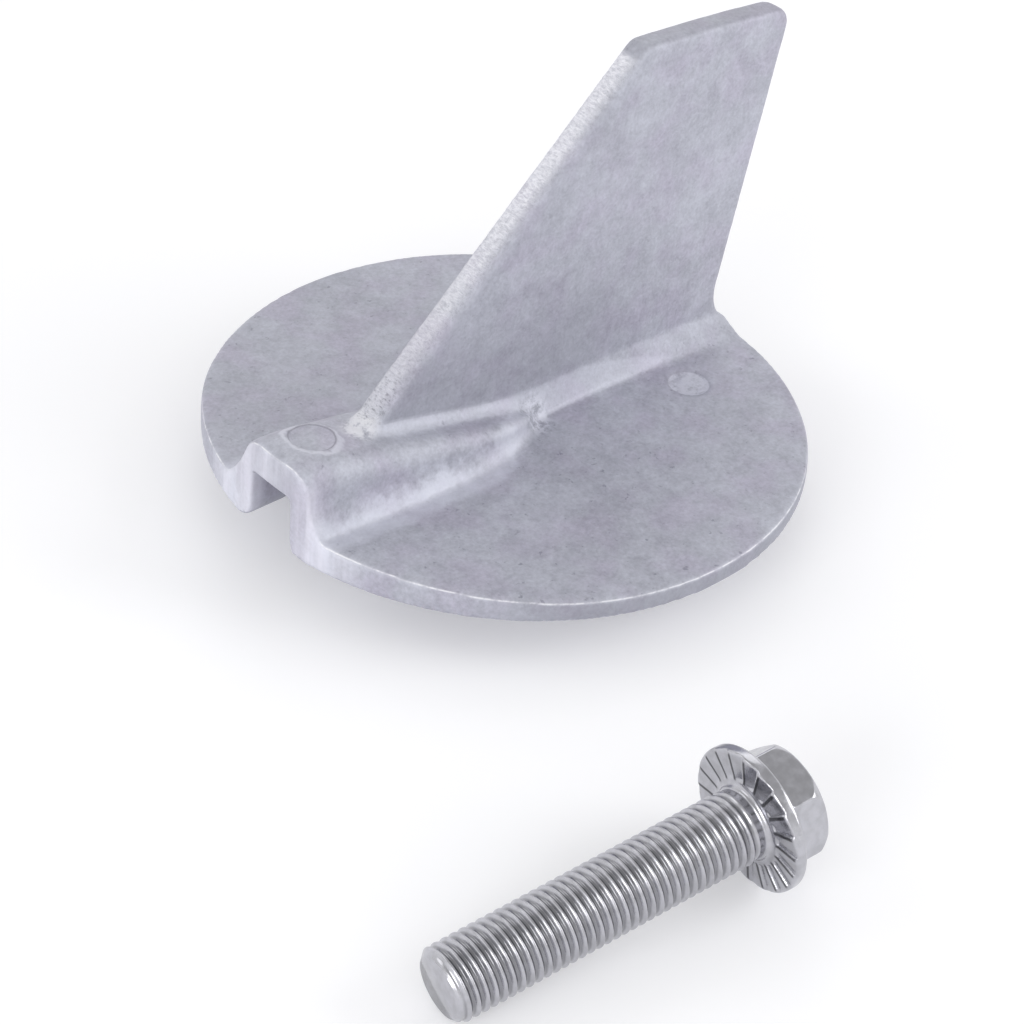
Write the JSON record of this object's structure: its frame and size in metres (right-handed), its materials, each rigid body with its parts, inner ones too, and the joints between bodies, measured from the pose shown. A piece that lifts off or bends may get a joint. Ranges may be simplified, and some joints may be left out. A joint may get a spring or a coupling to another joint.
{
  "type": "sacrificial anode",
  "caption": "Trim-tab anode for an outboard's lower unit: a finned disc with a threaded boss and a locating slot, with its flanged fixing bolt lying beside it.",
  "frame": {"origin": "mouth of the threaded hole, in the boss's face, on the floor", "axes": "+Z along the fin, away from the mounting side; +X aft, from the locating slot to the fin's trailing edge; +Y to port"},
  "size_m": [0.1282, 0.1358, 0.0659],
  "materials": {
    "anode_alloy": "matt, as cast",
    "stainless": "bright"
  },
  "bodies": {
    "root": {"anode_casting": "anode_alloy", "flange_bolt": "stainless"}
  },
  "joints": []
}
